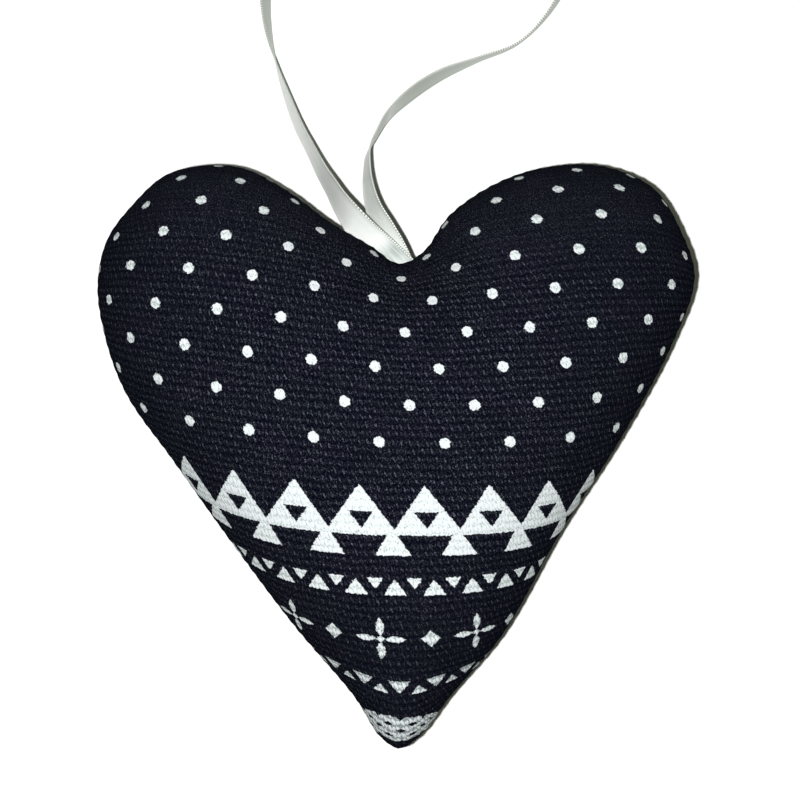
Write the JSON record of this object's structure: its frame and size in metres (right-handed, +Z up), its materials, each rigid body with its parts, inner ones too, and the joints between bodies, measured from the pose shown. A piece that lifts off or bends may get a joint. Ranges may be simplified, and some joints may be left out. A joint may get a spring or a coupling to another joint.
{
  "type": "heart ornament",
  "caption": "Stuffed fabric heart with a satin ribbon loop for hanging, lying on its back.",
  "frame": {"origin": "on the surface that the heart lies on, under the middle of the heart's box, ribbon left out", "axes": "+X to the right and +Y from the tip to the notch, seen from the printed front; +Z up, out of the front"},
  "size_m": [0.1114, 0.1809, 0.041],
  "materials": {
    "printed_canvas": "coarse navy cotton canvas with a pattern printed in white ink",
    "plain_canvas": "the same canvas, not printed",
    "satin_ribbon": "glossy pale silver green satin"
  },
  "bodies": {
    "root": {"front_panel": "printed_canvas", "back_panel": "plain_canvas", "ribbon_loop": "satin_ribbon"}
  },
  "joints": []
}
